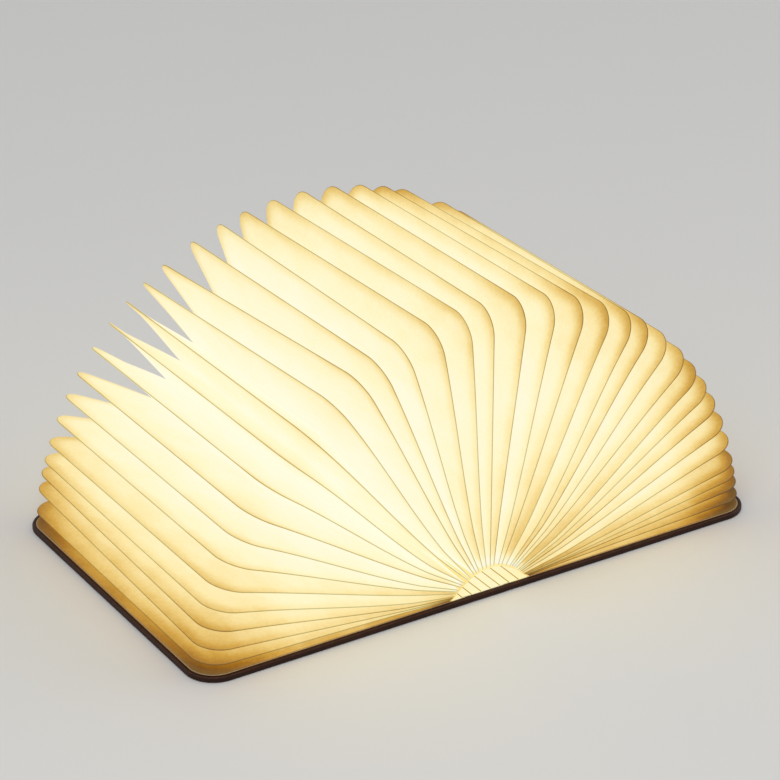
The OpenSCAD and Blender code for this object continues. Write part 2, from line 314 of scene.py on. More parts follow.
@dataclass(frozen=True)
class LitPaper:
    """Thin fibrous paper with light behind it.

    The mesh says how much light reaches each point (mark "light"), how far the point is
    from the leaf's free edge (mark "inset", in millimetres) and how strongly the edge's
    painted shade shows there (mark "edge"). Two glued layers along it hold back some
    light, fading out over seam_fade, and the cut edge itself holds back more. Along the
    cut lies a thin grey line of painted shade, which stands for the edge's own end-on
    tone and for the thin shadow it casts on the next page.
    """

    name: str
    cut_from: float = 0.05
    cut_to: float = 0.5
    seam_fade: float = 9.0
    seam_dim: float = 0.19
    cut_dim: float = 0.12
    # painted shade: the tint of the thin grey line along the cut
    cut_line_shade: Colour = (0.49, 0.53, 0.38)
    tint: Colour = (1.0, 1.0, 1.0)
    tones: tuple[tuple[float, Colour], ...] = (
        (0.0, (0.040, 0.012, 0.001)),
        (0.10, (0.090, 0.028, 0.001)),
        (0.25, (0.260, 0.108, 0.006)),
        (0.40, (0.470, 0.270, 0.042)),
        (0.55, (0.660, 0.490, 0.175)),
        (0.70, (0.780, 0.680, 0.360)),
        (0.85, (0.810, 0.785, 0.540)),
        (1.0, (0.810, 0.815, 0.680)),
    )

    def material(self) -> Material:
        """Build the material.

        Returns:
            Paper that glows from amber where little light comes to cream near the lamp.
        """
        mix = Recipe(self.name)
        where = mix.place()
        cloud = mix.noise(mix.stretched((60.0, 34.0, 60.0)), 1.0, 2.0)
        pulp = mix.noise(where, 420.0, 4.0)
        fibre = mix.noise(mix.stretched((1500.0, 420.0, 1500.0)), 1.0, 3.0)
        clouding = mix.span(cloud, 0.3, 0.7, -0.030, 0.030)
        texture = mix.sum("ADD", clouding, mix.span(pulp, 0.3, 0.7, -0.016, 0.016))
        inset = mix.mark("inset")
        seam = mix.span(inset, 0.0, self.seam_fade, -self.seam_dim, 0.0)
        cut = mix.span(inset, self.cut_from, self.cut_to, 1.0, 0.0)
        held = mix.sum("SUBTRACT", seam, mix.sum("MULTIPLY", cut, self.cut_dim))
        held = mix.sum("MULTIPLY", held, mix.mark("edge"))
        light = mix.sum("ADD", mix.sum("ADD", mix.mark("light"), texture), held)
        glow = mix.tones(light, self.tones)
        glow = mix.mix(1.0, glow, self.tint, "MULTIPLY")
        # painted shade: a thin grey line along the cut, in the glow here and in the base colour below
        glow = mix.mix(cut, glow, self.cut_line_shade, "MULTIPLY")
        sheet = mix.tones(fibre, ((0.3, (0.185, 0.122, 0.034)), (0.7, (0.232, 0.160, 0.054))))
        base = mix.mix(cut, sheet, (0.130, 0.092, 0.045))
        relief = mix.sum("ADD", mix.sum("MULTIPLY", fibre, 0.5), pulp)
        made = mix.shade(
            Base_Color=base,
            Roughness=0.8,
            Specular_IOR_Level=0.2,
            Emission_Color=glow,
            Emission_Strength=1.0,
            Normal=mix.bump(relief, 0.0001, 0.4),
        )
        made.cycles.emission_sampling = "NONE"
        return made


@dataclass(frozen=True)
class Leatherette:
    """Dark walnut-brown leatherette with a fine pebbled grain, lighter along its edges from rubbed wear and
    a painted highlight.
    """

    name: str = "walnut_leatherette"
    pebble: float = 1500.0

    def material(self) -> Material:
        """Build the material.

        Returns:
            Leatherette lighter along its edges where the rub mark says: rubbed wear together with a painted
            highlight on the rounded edge.
        """
        mix = Recipe(self.name)
        where = mix.place()
        grain = mix.cells(where, self.pebble)
        patch = mix.noise(where, 28.0, 4.0)
        crease = mix.noise(mix.stretched((240.0, 520.0, 240.0)), 1.0, 4.0)
        tint = mix.tones(patch, ((0.3, (0.020, 0.0068, 0.0038)), (0.7, (0.036, 0.0130, 0.0075))))
        tint = mix.mix(mix.span(grain, 0.2, 0.75, 0.0, 0.55), tint, (0.008, 0.0030, 0.0020))
        # rubbed wear and painted highlight: the leather turns lighter along its rounded edges
        rub = mix.sum("MULTIPLY", mix.mark("rub"), mix.span(crease, 0.3, 0.7, 0.35, 1.0))
        tint = mix.mix(rub, tint, (0.070, 0.026, 0.014))
        relief = mix.sum("SUBTRACT", mix.sum("MULTIPLY", crease, 0.35), grain)
        return mix.shade(
            Base_Color=tint,
            Roughness=mix.span(patch, 0.3, 0.7, 0.48, 0.60),
            Specular_IOR_Level=0.14,
            Normal=mix.bump(relief, 0.00022, 0.7),
        )


@dataclass(frozen=True)
class Card:
    """Matt paper or board that isn't lit: bookbinding board and end sheets."""

    name: str
    dark: Colour
    pale: Colour
    fleck: float = 700.0

    def material(self) -> Material:
        """Build the material.

        Returns:
            Board with scattered flecks and a faint fibre relief.
        """
        mix = Recipe(self.name)
        where = mix.place()
        fleck = mix.noise(where, self.fleck, 5.0)
        fibre = mix.noise(mix.stretched((300.0, 1400.0, 300.0)), 1.0, 3.0)
        tint = mix.mix(mix.span(fleck, 0.35, 0.65, 0.0, 1.0), self.dark, self.pale)
        relief = mix.bump(fibre, 0.0001, 0.5)
        return mix.shade(Base_Color=tint, Roughness=0.86, Specular_IOR_Level=0.2, Normal=relief)


@dataclass(frozen=True)
class OpalPlastic:
    """Frosted opal plastic with LEDs close behind it."""

    name: str = "opal_plastic"

    def material(self) -> Material:
        """Build the material.

        Returns:
            Plastic that glows warm white, a little stronger in soft patches.
        """
        mix = Recipe(self.name)
        frost = mix.noise(mix.place(), 900.0, 2.0)
        patch = mix.noise(mix.place(), 90.0, 1.0)
        glow = mix.tones(patch, ((0.3, (0.92, 0.80, 0.50)), (0.7, (1.0, 0.92, 0.66))))
        return mix.shade(
            Base_Color=(0.55, 0.52, 0.44),
            Roughness=0.45,
            Emission_Color=glow,
            Emission_Strength=1.4,
            Normal=mix.bump(frost, 0.00005, 0.4),
        )


@dataclass(frozen=True)
class Metal:
    """Plated or anodised metal with fine drawn lines."""

    name: str
    tint: Colour
    rough: float
    lines: Colour = (180.0, 9000.0, 9000.0)

    def material(self) -> Material:
        """Build the material.

        Returns:
            Metal whose roughness and relief follow its drawn lines.
        """
        mix = Recipe(self.name)
        drawn = mix.noise(mix.stretched(self.lines), 1.0, 3.0)
        smear = mix.noise(mix.place(), 120.0, 3.0)
        worn = tuple(0.82 * part for part in self.tint)
        return mix.shade(
            Base_Color=mix.mix(mix.span(smear, 0.3, 0.7, 0.0, 1.0), self.tint, worn),
            Metallic=1.0,
            Roughness=mix.span(drawn, 0.25, 0.75, self.rough * 0.75, self.rough * 1.25),
            Normal=mix.bump(drawn, 0.00003, 0.4),
        )


@dataclass(frozen=True)
class MouldedPlastic:
    """Plastic, film or solder mask with a fine grain and faint clouding."""

    name: str
    tint: Colour
    shade_tint: Colour
    rough: float = 0.4
    glow: float = 0.0

    def material(self) -> Material:
        """Build the material.

        Returns:
            Plastic between its two tints.
        """
        mix = Recipe(self.name)
        cloud = mix.noise(mix.place(), 160.0, 3.0)
        grain = mix.noise(mix.place(), 2600.0, 2.0)
        tint = mix.mix(mix.span(cloud, 0.3, 0.7, 0.0, 1.0), self.tint, self.shade_tint)
        lit = {"Emission_Color": tint, "Emission_Strength": self.glow} if self.glow else {}
        relief = mix.bump(grain, 0.00004, 0.35)
        return mix.shade(Base_Color=tint, Roughness=self.rough, Normal=relief, **lit)


# ---- Mesh making ----------------------------------------------------------------------


@dataclass
class Blank:
    """Gathers grids and flat caps of points until they are made into one piece."""

    points: list[Array] = field(default_factory=list)
    marks: dict[str, list[Array]] = field(default_factory=dict)
    faces: list[list[int]] = field(default_factory=list)
    count: int = 0

    def grid(self, points: Array, ring: bool = False, flip: bool = False, **marks: Array) -> Index:
        """Add a grid of points and the four-sided faces between neighbours.

        The face between rows i, i+1 and columns j, j+1 runs i,j - i+1,j - i+1,j+1 - i,j+1,
        so its normal is the row direction crossed with the column direction.

        Args:
            points: rows x columns x 3 places.
            ring: whether the last column joins the first.
            flip: whether the faces point the other way.
            **marks: a number for each point, by name.

        Returns:
            Each point's index, rows x columns.
        """
        rows, columns = points.shape[:2]
        index = self.count + np.arange(rows * columns).reshape(rows, columns)
        near = index if ring else index[:, :-1]
        far = np.roll(index, -1, axis=1) if ring else index[:, 1:]
        quads = np.stack([near[:-1], near[1:], far[1:], far[:-1]], axis=-1).reshape(-1, 4)
        self.faces += (quads[:, ::-1] if flip else quads).tolist()
        self.points.append(points.reshape(-1, 3))
        for name, values in marks.items():
            self.marks.setdefault(name, []).append(np.broadcast_to(values, (rows, columns)).ravel())
        self.count += rows * columns
        return index

    def cap(self, loop: Index, flip: bool = False) -> None:
        """Close a flat loop of points with one face.

        Args:
            loop: the points' indices in order.
            flip: whether the face points the other way.
        """
        self.faces.append((loop[::-1] if flip else loop).tolist())

    def piece(self, name: str, finish: Material, crease: float = 40.0) -> Object:
        """Make the gathered points and faces into one object at the origin.

        Args:
            name: the piece's name.
            finish: its material.
            crease: the angle in degrees past which an edge stays sharp.

        Returns:
            The new object.
        """
        mesh = bpy.data.meshes.new(name)
        mesh.from_pydata(np.concatenate(self.points).tolist(), [], self.faces)
        for key, values in self.marks.items():
            mark = mesh.attributes.new(key, "FLOAT", "POINT")
            mark.data.foreach_set("value", np.concatenate(values).astype(np.float32))
        mesh.polygons.foreach_set("use_smooth", np.ones(len(mesh.polygons), bool))
        mesh.set_sharp_from_angle(angle=math.radians(crease))
        mesh.materials.append(finish)
        mesh.update()
        made = bpy.data.objects.new(name, mesh)
        bpy.context.scene.collection.objects.link(made)
        return made


def bend(
    piece: Object, fixed: str, moving: str, start: Vector, end: Vector, share: Array
) -> None:
    """Let a piece bend between two bodies, point by point.

    Args:
        piece: the piece.
        fixed: the body that it follows at 0.
        moving: the body that it follows at 1.
        start: a point on the fixed side.
        end: a point on the moving side.
        share: how much of the moving body's turn each point takes.
    """
    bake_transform(piece, fixed, moving, start=start, end=end)
    weights = piece.data.attributes["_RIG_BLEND"]
    weights.data.foreach_set("value", share.astype(np.float32).ravel())


# ---- The fan of leaves ----------------------------------------------------------------


# The folds' angles above the right cover at the middle of the spine, in degrees: paper
# crowds towards the covers, and each fold settles a little out of step.
SETTLED = (
    0, 2.3, 5.2, 7.6, 10.4, 15.2, 20, 25.2, 29.9, 34.7, 39.7, 45.9,
    51.7, 56.6, 64.8, 70.4, 76.5, 83, 90, 95.7, 102, 108.2, 114, 119.9,
    125.4, 131.4, 136.8, 142.5, 148.2, 153.1, 157.9, 162.7, 166.7, 170, 173.6, 177.6, 180,
)

# How far each fold turns on from its near end to its far end, in degrees: loose pages twist.
TWIST = (
    *(0,) * 14, 4.6, 2.6, 1.0, 0.6, 0, 1.6, 1.6, 0, 1.2, 4.0, 2.8, 0.4,
    *(0,) * 6, -0.6, -1.8, -2.4, -0.6, 0,
)

# How far each fold has bowed at its root, in degrees: towards the cover that it lies nearer.
BOW = (
    0, 0.6, -0.3, -1.5, -2.6, -4.2, -3.9, -4.9, -5.9, -7.6, -5.3, -7.1,
    -8.3, -8.8, -5.2, -2.0, -2.3, 0.9, 0, 2.5, 3.2, 3.8, 3.1, 2.9,
    5.2, 3.9, 5.8, 4.7, 2.9, 4.6, 3.2, 2.3, 4.2, 3.3, 1.2, -0.6, 0,
)


@dataclass(frozen=True)
class Fan:
    """Where the folds of the bellows stand, on the same lines as in the solids.

    Fold 0 lies on the right cover, fold 36 on the left one, and the folds between
    them are the glued seams of leaves 1 to 35. Each page hangs from a line along the
    spine. Loose paper also bows near that line and twists along it, which the flat
    solids leave out.
    """

    hinge_x: float = 12.5 * MM
    hinge_z: float = 3.6 * MM
    leaves: int = 35
    settled: tuple[float, ...] = SETTLED
    twist: tuple[float, ...] = TWIST
    bow: tuple[float, ...] = BOW
    bow_to: float = 153.0 * MM
    bow_from: float = 40.0 * MM
    bow_power: float = 2.1
    root_r: float = 14.2 * MM
    page_r: float = 168.5 * MM
    page_half: float = 105.0 * MM
    page_corner: float = 15.5 * MM
    valley_corner: float = 3.0 * MM
    seam_w: float = 5.0 * MM
    depth: float = 36.0 * MM

    @property
    def middle(self) -> int:
        """The fold that stands upright."""
        return (self.leaves + 1) // 2

    @property
    def last(self) -> int:
        """The fold that lies on the left cover."""
        return self.leaves + 1

    def share(self, fold: ArrayLike) -> Array:
        """How far a fold is from the middle: 1 on the right cover, -1 on the left."""
        return (self.middle - np.asarray(fold, float)) / self.middle

    def angle(self, fold: ArrayLike, r: ArrayLike, y: ArrayLike) -> Array:
        """The angle of a fold's page above the right cover, where a point of it stands.

        It is the fold's settled angle, half its twist times y over page_half, and its bow,
        which is full out to bow_from and fades by a power to nothing at bow_to.

        Args:
            fold: fold numbers, whole or between two folds.
            r: distances from the fold line.
            y: places along the spine.

        Returns:
            Angles in radians.
        """
        settled, twist, bow = (
            np.interp(np.asarray(fold, float), np.arange(self.last + 1), each)
            for each in (self.settled, self.twist, self.bow)
        )
        fade = np.clip((self.bow_to - np.asarray(r)) / (self.bow_to - self.bow_from), 0, 1)
        along = 0.5 * np.asarray(y) / self.page_half
        return np.radians(settled + along * twist + fade**self.bow_power * bow)

    def turn_share(self, angle: Array, side: Side) -> Array:
        """How much of its cover's turn a page makes from an angle, so that all close flat."""
        return side.value * (1 - angle / (0.5 * math.pi))

    def body(self, fold: int) -> str:
        """Name of the body that a fold belongs to."""
        ends = {0: Side.RIGHT.cover, self.last: Side.LEFT.cover, self.middle: "spine"}
        return ends.get(fold, f"leaf_{fold:02d}")

    def stand(self, fold: ArrayLike, r: ArrayLike, y: ArrayLike, off: ArrayLike = 0.0) -> Array:
        """Places on the folds' pages.

        The fold line is at hinge_x times the share. A point is r along the page from
        that line, y along the spine, and off to the side of the page.

        Args:
            fold: fold numbers.
            r: distances from the fold line.
            y: places along the spine.
            off: distances off the page, towards the next fold.

        Returns:
            Places, with the inputs' common shape x 3.
        """
        fold, r, y, off = np.broadcast_arrays(*(np.asarray(v, float) for v in (fold, r, y, off)))
        a = self.angle(fold, r, y)
        x = self.hinge_x * self.share(fold) + r * np.cos(a) - off * np.sin(a)
        z = self.hinge_z + r * np.sin(a) + off * np.cos(a)
        return np.stack([x, y, z], axis=-1)

    def outline(self, s: Array, inset: ArrayLike, corner: ArrayLike) -> tuple[Array, Array]:
        """A line inside a page's three free sides.

        s runs from 0 at the near root to 5 at the far one. Its whole part picks the near
        leg, a quarter circle, the fore-edge, a quarter circle or the far leg.

        Args:
            s: stations along the line.
            inset: how far inside the page's edge the line runs.
            corner: radius of its two corners.

        Returns:
            Distances from the fold line, and places along the spine.
        """
        return u_line(s, inset, corner, self.root_r, self.page_r, self.page_half)


def u_line(
    s: Array, inset: ArrayLike, corner: ArrayLike, root: float, reach: float, half: float
) -> tuple[Array, Array]:
    """A U-shaped line round three sides of a rectangle with two rounded corners.

    Args:
        s: stations from 0 to 5; the whole part picks one of the five stretches.
        inset: how far inside the rectangle the line runs.
        corner: radius of its corners.
        root: where the two legs start.
        reach: where the rectangle's fore-edge is.
        half: half the rectangle's width along the spine.

    Returns:
        Distances out from the spine, and places along it.
    """
    s, inset, corner = np.broadcast_arrays(s, np.asarray(inset, float), np.asarray(corner, float))
    part = np.minimum(np.floor(s), 4)
    t = s - part
    across, along = reach - inset - corner, half - inset - corner
    turn = 0.5 * math.pi * np.where(part == 1, t - 1, t)
    bulge = corner * np.sin(turn)
    r = np.select(
        [part == 0, part == 2, part == 4],
        [root + t * (across - root), reach - inset, across + t * (root - across)],
        across + corner * np.cos(turn),
    )
    y = np.select(
        [part == 0, part == 1, part == 2, part == 3],
        [inset - half, bulge - along, along * (2 * t - 1), along + bulge],
        half - inset,
    )
    return r, y


def stations(leg: int, turn: int, fore: int) -> Array:
    """Stations along a U-line, a number of them on each of its stretches.

    Args:
        leg: steps on each leg.
        turn: steps on each corner.
        fore: steps on the fore-edge.

    Returns:
        Stations from 0 to 5.
    """
    steps = [leg, turn, fore, turn, leg]
    runs = [i + np.linspace(0, 1, n, endpoint=False) for i, n in enumerate(steps)]
    return np.concatenate([*runs, [5.0]])


@dataclass(frozen=True)
class LightBar:
    """The lit bar on the spine, as the light's source: how brightly it shows through the paper."""

    half_l: float = 63.0 * MM
    height: float = 18.0 * MM
    reach: float = 170.0 * MM
    corner: tuple[float, float] = (168.5 * MM, 105.0 * MM)
    corner_fade: float = 38.0 * MM
    tunnel_r: float = 14.2 * MM
    rim_fade: float = 4.0 * MM
    gap_fade: float = 12.0 * MM
    root_fade: float = 119.0 * MM

    def reaching(self, points: Array, tilt: Array, r: Array, y: Array) -> tuple[Array, Array]:
        """How much light comes to each point of the paper, and how much its glued edge holds back.

        Light falls from 1 at the bar by 0.20 times the square of the distance over the
        reach, a little less on the left. Near the covers, where it passes more layers, it
        falls by 0.18 at the root to 0.40 at the reach, times (1 - sine of the tilt) to the
        power 8 on the right and 5 on the left. It falls by up to 0.28 at the roots on the
        right and 0.17 on the left. The tunnel's rim still shines, over rim_fade, and near
        the covers dark gaps lie beside it, over gap_fade. Towards each page's corners, past
        the bar's ends, it falls once more. The glued edge's shade is painted, strongest on
        the right and at those corners.

        Args:
            points: places, any shape x 3.
            tilt: each point's angle above the right cover, in radians.
            r: distances from the fold line.
            y: places along the spine.

        Returns:
            Light from 0 to 1, and the strength of the glued edge's painted shade.
        """
        beyond = np.maximum(np.abs(points[..., 1]) - self.half_l, 0)
        far = np.sqrt(points[..., 0] ** 2 + (points[..., 2] - self.height) ** 2 + beyond**2)
        right = np.clip(2.6 * np.cos(tilt) + 0.15, 0, 1)
        low = (1 - np.clip(np.sin(tilt), 0, 1)) ** (5 + 3 * right)
        apart = (self.corner[0] - r) ** 2 + (self.corner[1] - np.abs(y)) ** 2
        corner = np.exp(-apart / self.corner_fade**2)
        root = np.clip(1 - r / self.root_fade, 0, 1)
        near = np.maximum(r - self.tunnel_r, 0)
        rim = 0.45 * np.exp(-near / self.rim_fade) * np.clip(2 * np.sin(tilt) - 0.3, 0, 1)
        gap = 0.30 * low * np.exp(-near / self.gap_fade)
        left = np.clip(-1.6 * np.cos(tilt) - 0.3, 0, 1)
        out = r / self.reach
        light = 1.0 - 0.20 * (far / self.reach) ** 2 + 0.045 * left * out
        light += rim - gap - low * (0.18 + 0.22 * out) - (0.17 + 0.11 * right) * root
        # painted shade: how strongly the glued edge is darkened, more on the right and at the corners
        edge = 0.75 - 0.30 * left + (0.35 + 0.40 * right - 0.10 * left) * corner
        return light - (0.06 + 0.09 * right + 0.15 * low) * corner, edge


@dataclass
class Bellows:
    """The pleated paper: two walls to each pleat, glued together along each leaf's free edges."""

    fan: Fan = field(default_factory=Fan)
    bar: LightBar = field(default_factory=LightBar)
    paper_t: float = 0.2 * MM
    wall_t: float = 0.15 * MM
    lap_from: float = 0.35 * MM
    lap_off: float = 0.37 * MM
    billow: float = 1.35
    leg: int = 20
    turn: int = 12
    fore: int = 22
    sleeve_r: float = 13.4 * MM
    sleeve_t: float = 0.4 * MM
    sleeve_l: float = 39.0 * MM

    def build(self, paper: LitPaper, lining: LitPaper) -> None:
        """Make every seam, wall and sleeve strip.

        Args:
            paper: finish of the leaves.
            lining: finish of the sleeves at the tunnel's ends.
        """
        sheet, tube = paper.material(), lining.material()
        for fold in range(1, self.fan.last):
            self.seam(fold, sheet)
        for pleat in range(self.fan.last):
            self.wall(pleat, pleat + 1, sheet)
            self.wall(pleat + 1, pleat, sheet)
            self.sleeve(pleat, tube)
        log.info("bellows: %d seams, %d walls", self.fan.leaves, 2 * self.fan.last)

    def mood(self, fold: float, r: Array) -> Array:
        """A small difference in brightness from sheet to sheet, three times as much at the root.

        It is the sum of two sines of the fold's number, so that no two neighbours match.

        Args:
            fold: the fold's number.
            r: distances from the fold line.

        Returns:
            Light to add.
        """
        root = np.clip(1 - r / (0.6 * self.fan.page_r), 0, 1)
        uneven = 0.034 * math.sin(2.4 * fold + 0.6) + 0.022 * math.sin(5.1 * fold)
        return uneven * (1 + 2 * root)

    def seam(self, fold: int, finish: Material) -> None:
        """Make one leaf's glued strip, closed, with a softly rounded free edge.

        Its section is a ring of points, each an inset in millimetres and a side in paper
        thicknesses, and is carried along the page's outline.

        Args:
            fold: the leaf's number.
            finish: its material.
        """
        t = self.paper_t
        edge = np.array([[0.0, 0.0], [0.06, 0.6], [0.25, 0.92], [0.8, 1.0], [3.0, 1.0], [5.0, 1.0]])
        ring = np.concatenate([edge, edge[:0:-1] * [1, -1]])
        inset, off = ring[:, 0] * MM, ring[:, 1] * t
        s = stations(self.leg, self.turn, self.fore)[:, None]
        r, y = self.fan.outline(s, inset, self.fan.page_corner - inset)
        points = self.fan.stand(fold, r, y, off)
        tilt = self.fan.angle(fold, r, y)
        light, edge = self.bar.reaching(points, tilt, r, y)
        light = light + self.mood(fold, r)
        blank = Blank()
        index = blank.grid(points, ring=True, light=light, edge=edge, inset=ring[:, 0])
        blank.cap(index[0])
        blank.cap(index[-1], flip=True)
        made = blank.piece(f"seam_{fold:02d}", finish)
        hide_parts(f"leaf_{fold:02d}")
        if fold == self.fan.middle:
            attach(made, self.fan.body(fold))
        else:
            side = Side.RIGHT if fold < self.fan.middle else Side.LEFT
            self.follow(made, fold, side, tilt)

    def wall(self, fold: int, other: int, finish: Material) -> None:
        """Make the sheet that runs from one fold's seam down to the valley beside it.

        At an inset d from the page's edge the sheet stands between the two folds by half
        of ((d - seam) / (depth - seam)) to the power billow, so it leaves the seam flat and
        billows on its way to the valley. Its corners tighten from the page's to the valley's.

        Args:
            fold: the fold that it hangs from.
            other: the fold on the other side of the valley.
            finish: its material.
        """
        fan = self.fan
        towards = other - fold
        seam, depth = fan.seam_w, fan.depth
        lap = [self.lap_from, 0.9 * MM, 2.0 * MM, 3.4 * MM]
        inset = np.concatenate([lap, np.linspace(seam, depth, 12)])
        down = np.clip((inset - seam) / (depth - seam), 0, 1)
        lean = 0.5 * down**self.billow
        tighter = (1 - inset / depth) ** 1.6
        corner = fan.valley_corner + (fan.page_corner - fan.valley_corner) * tighter
        s = stations(self.leg, self.turn, self.fore)[:, None]
        r, y = fan.outline(s, inset, corner)
        off = towards * self.lap_off * (1 - down) ** 0.5
        points = fan.stand(fold + towards * lean, r, y, off)
        tilt = fan.angle(fold + towards * lean, r, y)
        light, edge = self.bar.reaching(points, tilt, r, y)
        light = light + self.mood(fold + 0.37 * towards, r) + 0.10 * down
        blank = Blank()
        blank.grid(points, flip=towards < 0, light=light, edge=edge, inset=inset / MM)
        side = Side.RIGHT if min(fold, other) < fan.middle else Side.LEFT
        made = blank.piece(f"{side.word}_wall_{fold:02d}_{other:02d}", finish, crease=70.0)
        thick = made.modifiers.new("sheet", "SOLIDIFY")
        thick.thickness, thick.offset = self.wall_t, -1.0
        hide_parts(f"{side.word}_pleat_walls")
        self.follow(made, other if fold == fan.middle else fold, side, tilt)

    def follow(self, piece: Object, fold: int, side: Side, tilt: Array) -> None:
        """Turn a sheet with a fold's body, each point by its own share of the cover's turn.

        The body turns from its settled angle, so a point's weight is its own share over
        the body's.

        Args:
            piece: the sheet.
            fold: the fold whose body moves it.
            side: the half that the sheet is in.
            tilt: each point's angle above the right cover, in radians.
        """
        fan = self.fan
        own = fan.turn_share(np.radians(fan.settled[fold]), side)
        line = Vector((fan.hinge_x * float(fan.share(fold)), 0, fan.hinge_z))
        share = fan.turn_share(tilt, side) / own
        bend(piece, "spine", fan.body(fold), line, line + Vector((0, 0, 0.1)), share)

    def sleeve(self, pleat: int, finish: Material) -> None:
        """Make the strip of the two end sleeves that spans one pleat.

        It is the arch at a fixed radius from the fold lines, carried along the spine, and
        runs 0.04 of a pleat under its neighbours. Its painted glow is brighter inside and at
        its top.

        Args:
            pleat: the pleat's number, that of its lower fold.
            finish: its material.
        """
        fan = self.fan
        side = Side.RIGHT if pleat < fan.middle else Side.LEFT
        fold, other = (pleat, pleat + 1) if side is Side.RIGHT else (pleat + 1, pleat)
        lean = np.linspace(-0.04, 1.04, 9)
        stand = np.clip(fold + (other - fold) * lean, 0, fan.last)
        tilts = []
        blank = Blank()
        for end in (-1, 1):
            y = end * (fan.page_half - self.sleeve_l * np.linspace(0, 1, 9))[:, None]
            points = fan.stand(stand, self.sleeve_r, y)
            tilt = fan.angle(stand, self.sleeve_r, y)
            tilts.append(tilt)
            deep = (fan.page_half - np.abs(y)) / self.sleeve_l
            light = 0.92 + 0.06 * deep - 0.22 * np.abs(np.cos(tilt))
            flip = (end < 0) != (side is Side.LEFT)
            blank.grid(points, flip=flip, light=light, edge=0.0, inset=10.0)
        made = blank.piece(f"sleeve_{pleat:02d}", finish)
        thick = made.modifiers.new("sheet", "SOLIDIFY")
        thick.thickness, thick.offset = self.sleeve_t, -1.0
        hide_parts("end_sleeves")
        self.follow(made, fold, side, np.concatenate(tilts))


# ---- Covers and spine -----------------------------------------------------------------


@dataclass
class Binding:
    """The leatherette case: two covers, the spine and the two strips that bend at the hinges."""

    cover_x: float = 16.5 * MM
    spine_half: float = 8.5 * MM
    fore_x: float = 183.5 * MM
    half_l: float = 107.5 * MM
    corner_r: float = 18.0 * MM
    cover_t: float = 3.6 * MM
    skin_t: float = 0.9 * MM
    rim_w: float = 2.2 * MM
    low_r: float = 1.1 * MM
    top_r: float = 0.9 * MM
    groove: float = 0.35 * MM

    def wrap(self) -> tuple[Array, Array, Array]:
        """The skin's section from under the cover, round its edge and down into the pocket.

        Returns:
            Insets from the edge, heights, and how much lighter the leather is there, for rubbed wear and a
            painted highlight.
        """
        turn = np.radians(np.linspace(0, 90, 7))
        low, top, lip, brim = self.low_r, self.top_r, 0.04 * MM, 0.2 * MM
        under, upper = low - low * np.sin(turn), top - top * np.cos(turn)
        rise, crown = low - low * np.cos(turn), self.cover_t - top + top * np.sin(turn)
        inset = [8 * MM, 3 * MM, *under, *upper, 1.8 * MM, 2.1 * MM, self.rim_w, self.rim_w]
        rim = self.cover_t
        height = [0, 0, *rise, *crown, rim, rim - lip, rim - brim, self.skin_t]
        # rubbed wear and painted highlight, strongest on the rounding of the top edge
        rub = [0, 0, 0, 0.05, 0.15, 0.3, 0.35, 0.25, 0.1]
        rub += [0.1, 0.35, 0.75, 1.0, 0.9, 0.5, 0.2, 0.08, 0.05, 0, 0]
        return np.array(inset), np.array(height), np.array(rub, float)

    def build(self, leather: Leatherette) -> None:
        """Make the covers' skins, the spine's skin and the hinge strips.

        Args:
            leather: finish of the case.
        """
        finish = leather.material()
        for side in Side:
            self.cover(side, finish)
            self.strip(side, finish)
        self.spine(finish)
        log.info("binding: two covers, a spine and two hinge strips")

    def cover(self, side: Side, finish: Material) -> None:
        """Make one cover's skin: its section carried round the three free edges.

        Args:
            side: which cover.
            finish: its material.
        """
        inset, height, rub = self.wrap()
        s = stations(26, 16, 30)[:, None]
        r, y = u_line(s, inset, self.corner_r - inset, self.cover_x, self.fore_x, self.half_l)
        points = np.stack([side.value * r, y, np.broadcast_to(height, r.shape)], axis=-1)
        mirrored = side is Side.LEFT
        blank = Blank()
        index = blank.grid(points, flip=not mirrored, rub=rub)
        blank.cap(index[:, 0], flip=not mirrored)
        blank.cap(index[:, -1], flip=mirrored)
        blank.cap(np.concatenate([index[0], index[-1, ::-1]]), flip=not mirrored)
        made = blank.piece(f"{side.word}_cover_case", finish)
        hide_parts(f"{side.word}_cover_skin")
        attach(made, side.cover)

    def across(self, x: Array, dip: Array, flip: bool) -> Blank:
        """A stretch of skin that bridges from x to x, with its turned-in rims at both ends.

        Args:
            x: places across the spine, in order.
            dip: how far the underside is pressed in at each place.
            flip: whether x runs from right to left.

        Returns:
            The closed stretch.
        """
        inset, height, rub = self.wrap()
        y = np.concatenate([inset - self.half_l, self.half_l - inset[::-1]])
        z = np.concatenate([height, height[::-1]])
        low = np.clip(1 - z / self.skin_t, 0, 1)
        points = np.stack(np.broadcast_arrays(x[:, None], y, z + dip[:, None] * low), axis=-1)
        blank = Blank()
        index = blank.grid(points, ring=True, flip=flip, rub=np.concatenate([rub, rub[::-1]]))
        blank.cap(index[0], flip=flip)
        blank.cap(index[-1], flip=not flip)
        return blank

    def spine(self, finish: Material) -> None:
        """Make the skin under the spine's board.

        Args:
            finish: its material.
        """
        x = np.linspace(-self.spine_half, self.spine_half, 5)
        made = self.across(x, np.zeros(5), flip=False).piece("spine_case", finish)
        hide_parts("spine_skin")
        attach(made, "spine")

    def strip(self, side: Side, finish: Material) -> None:
        """Make one hinge strip, pressed into a shallow groove as a book's joint is.

        The groove's depth is a raised cosine across the strip.

        Args:
            side: which hinge.
            finish: its material.
        """
        t = np.linspace(0, 1, 25)
        x = side.value * (self.spine_half + t * (self.cover_x - self.spine_half))
        dip = self.groove * 0.5 * (1 - np.cos(2 * math.pi * t))
        blank = self.across(x, dip, flip=side is Side.LEFT)
        made = blank.piece(f"{side.word}_joint_strip", finish)
        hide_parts(f"{side.word}_hinge_strip")
        start = (side.value * self.spine_half, 0, 0)
        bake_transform(made, "spine", side.cover, start=start, end=(side.value * self.cover_x, 0, 0))


